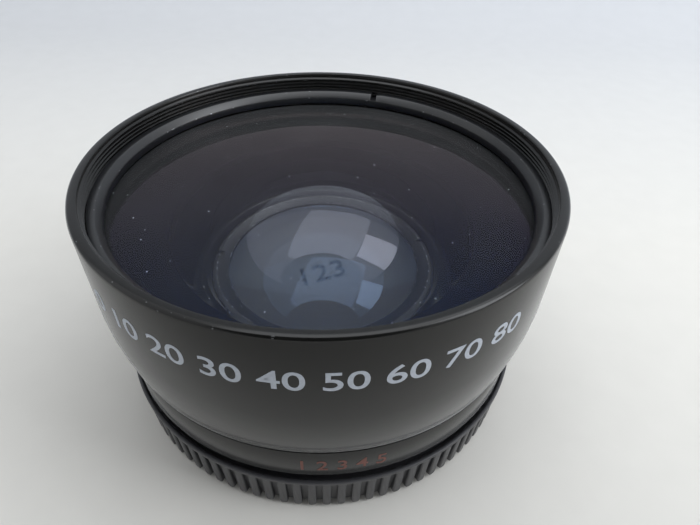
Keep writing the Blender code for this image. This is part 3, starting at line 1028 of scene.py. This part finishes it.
class LENS_OT_printed_numbers(bpy.types.Operator):
    """Print the numbers on the barrel and on the macro ring"""

    bl_idname = "lens.printed_numbers"
    bl_label = "Printed numbers"

    def execute(self, context):
        look = settings("marks")
        white = pad_printed_ink("white_pad_printed_ink", look.white)
        red_brown = pad_printed_ink("red_brown_pad_printed_ink", look.red_brown)
        for part, stretch, ink, node, body in (
            ("barrel", look.stretch, white, "front_barrel", "front_unit"),
            ("band", look.band_stretch, red_brown, "macro_ring", "macro_unit"),
        ):
            text, height, bold, azimuth, base = (
                getattr(look, part + kind) for kind in ("_text", "_height", "_bold", "_azimuth", "_base")
            )
            letters = flat_text(text, height, stretch, look.film, bold)
            wall = solid_section(node)
            wrap_on_wall(letters, wall, azimuth, base)
            wall.free()
            place_piece(part + "_numbers", letters, [ink], body, "anodised_barrel")
        return {"FINISHED"}


class LENS_OT_cap_number(bpy.types.Operator):
    """Raise the moulded number on the cap's floor"""

    bl_idname = "lens.cap_number"
    bl_label = "Cap number"

    def execute(self, context):
        look = settings("marks")
        raised = flat_text(look.cap_text, look.cap_height, look.stretch, 2.0 * look.cap_relief)
        outline = solid_section("rear_cap")
        floor = apex_heights(outline)[1]
        outline.free()
        bmesh.ops.rotate(raised, matrix=Matrix.Rotation(look.cap_turn, 3, UP), verts=raised.verts)
        place = Vector(look.cap_place) + floor * UP
        bmesh.ops.translate(raised, vec=place, verts=raised.verts)
        # The digits are painted dark, as painted shade that stands for the shade in engraved strokes
        place_piece("cap_number", raised, [etched_cap_plastic()], "cap_unit", "cap_plastic")
        return {"FINISHED"}


class LENS_OT_studio(bpy.types.Operator):
    """Set up the paper sweep, the softboxes, the room's light and the camera"""

    bl_idname = "lens.studio"
    bl_label = "Studio"

    def sweep(self):
        """A floor that curves up into a backdrop behind the lens."""
        look = settings("studio")
        paper = bmesh.new()
        bmesh.ops.create_grid(paper, x_segments=1, y_segments=1, size=look.reach)
        back = [edge for edge in paper.edges if all(vert.co.y > 0.0 for vert in edge.verts)]
        bmesh.ops.translate(paper, vec=(0.0, look.back - look.reach, 0.0), verts=paper.verts)
        pulled = bmesh.ops.extrude_edge_only(paper, edges=back)
        bmesh.ops.translate(paper, vec=(0.0, 0.0, look.rise), verts=only_verts(pulled["geom"]))
        fold = [edge for edge in paper.edges if edge.calc_face_angle(0.0) > EDGE_ANGLE]
        round_edges(paper, fold, look.bend, 16)
        mesh = as_mesh(paper, "paper_sweep")
        finish_mesh(mesh)
        mesh.materials.append(sweep_paper(look.floor, look.backdrop))
        new_object("paper_sweep", mesh)

    def softbox(self, name, centre, target, turn, width, height, radiance):
        """An area lamp that faces a point, with its power worked out from its radiance and size.

        The renderer gives such a lamp a radiance of a quarter of its power over its area.
        """
        lamp = bpy.data.lights.new(name, "AREA")
        lamp.shape = "RECTANGLE"
        lamp.size = width
        lamp.size_y = height
        lamp.energy = radiance * width * height * 4.0
        lamp.color = LAMP_TINT
        box = new_object(name, lamp)
        box.location = centre
        aim = Vector(target) - Vector(centre)
        box.rotation_euler = aim.to_track_quat("-Z", "Y").to_euler()
        box.rotation_euler.rotate_axis("Z", turn)
        box.visible_camera = False

    def towards_camera(self):
        """Direction from the target to the camera."""
        tilt = settings("studio").elevation
        return Vector((0.0, -math.cos(tilt), math.sin(tilt)))

    def dark_card(self):
        """A dark card behind the camera, which shades the front as a camera and its user do."""
        look = settings("studio")
        back = self.towards_camera()
        card = bmesh.new()
        bmesh.ops.create_circle(card, cap_ends=True, segments=64, radius=0.5)
        bmesh.ops.scale(card, vec=(look.card_width, look.card_height, 1.0), verts=card.verts)
        facing = back.to_track_quat("Z", "Y").to_matrix()
        bmesh.ops.rotate(card, matrix=facing, verts=card.verts)
        place = Vector(look.target) + back * (look.distance + look.card_gap)
        bmesh.ops.translate(card, vec=place, verts=card.verts)
        mesh = as_mesh(card, "dark_card")
        mesh.materials.append(matt_card(look.card))
        board = new_object("dark_card", mesh)
        board.visible_camera = False

    def room(self):
        """Light from all round, weaker from behind the camera."""
        look = settings("studio")
        world = bpy.data.worlds.new("studio_room")
        bpy.context.scene.world = world
        world.use_nodes = True
        tree = world.node_tree
        place = add_node(tree, "TexCoord").outputs["Generated"]
        parts = add_node(tree, "SeparateXYZ", {"Vector": place})
        depth = parts.outputs["Y"]
        dimmed = look.sides * look.behind
        # The camera looks along +Y, so a direction behind it has a Y of about -0.8
        sides = add_node(
            tree,
            "MapRange",
            {"Value": depth, "From Min": -0.8, "From Max": 0.2, "To Min": dimmed, "To Max": look.sides},
        )
        feed(tree.nodes["Background"], {"Color": rgba(ROOM_TINT), "Strength": sides})

    def camera(self):
        look = settings("studio")
        back = self.towards_camera()
        right = Vector((1.0, 0.0, 0.0))
        axes = Matrix((right, back.cross(right), back)).transposed()
        turned = Matrix.Rotation(look.roll, 3, back) @ axes
        data = bpy.data.cameras.new("camera")
        data.lens = look.lens
        data.sensor_width = 36.0
        data.clip_start = 0.005
        data.clip_end = 10.0
        camera = new_object("camera", data)
        place = Matrix.Translation(Vector(look.target) + back * look.distance)
        camera.matrix_world = place @ turned.to_4x4()
        bpy.context.scene.camera = camera

    def execute(self, context):
        look = settings("studio")
        context.scene.view_settings.view_transform = "Standard"
        self.sweep()
        self.dark_card()
        self.room()
        self.softbox(
            "overhead_softbox",
            look.overhead_place,
            Vector(look.overhead_place) - UP,
            look.overhead_turn,
            look.overhead_width,
            look.overhead_depth,
            look.overhead,
        )
        self.softbox(
            "window_softbox",
            look.window_place,
            look.target,
            0.0,
            look.window_width,
            look.window_height,
            look.window,
        )
        self.camera()
        return {"FINISHED"}


# Add-on

GROUPS = {
    "metal": MetalSettings,
    "glass": GlassSettings,
    "cap": CapSettings,
    "marks": MarkSettings,
    "studio": StudioSettings,
}
OPERATORS = (
    LENS_OT_front_barrel,
    LENS_OT_macro_ring,
    LENS_OT_retaining_rings,
    LENS_OT_glasses,
    LENS_OT_rear_cap,
    LENS_OT_printed_numbers,
    LENS_OT_cap_number,
    LENS_OT_studio,
)


class LENS_PT_pieces(bpy.types.Panel):
    """Lists the pieces and their settings"""

    bl_idname = "LENS_PT_pieces"
    bl_label = "Conversion lens"
    bl_space_type = "VIEW_3D"
    bl_region_type = "UI"
    bl_category = "Conversion lens"

    def draw(self, context):
        for operator in OPERATORS:
            self.layout.operator(operator.bl_idname)
        for group, kind in GROUPS.items():
            box = self.layout.box()
            box.label(text=group.capitalize())
            for name in kind.__annotations__:
                box.prop(settings(group), name)


def register():
    for group, kind in GROUPS.items():
        bpy.utils.register_class(kind)
        setattr(bpy.types.Scene, "lens_" + group, PointerProperty(type=kind))
    for kind in (*OPERATORS, LENS_PT_pieces):
        bpy.utils.register_class(kind)


def unregister():
    for kind in reversed((*OPERATORS, LENS_PT_pieces)):
        bpy.utils.unregister_class(kind)
    for group, kind in GROUPS.items():
        delattr(bpy.types.Scene, "lens_" + group)
        bpy.utils.unregister_class(kind)


def main():
    register()
    bpy.ops.lens.front_barrel()
    bpy.ops.lens.macro_ring()
    bpy.ops.lens.retaining_rings()
    bpy.ops.lens.glasses()
    bpy.ops.lens.rear_cap()
    bpy.ops.lens.printed_numbers()
    bpy.ops.lens.cap_number()
    bpy.ops.lens.studio()


if __name__ == "__main__":
    main()
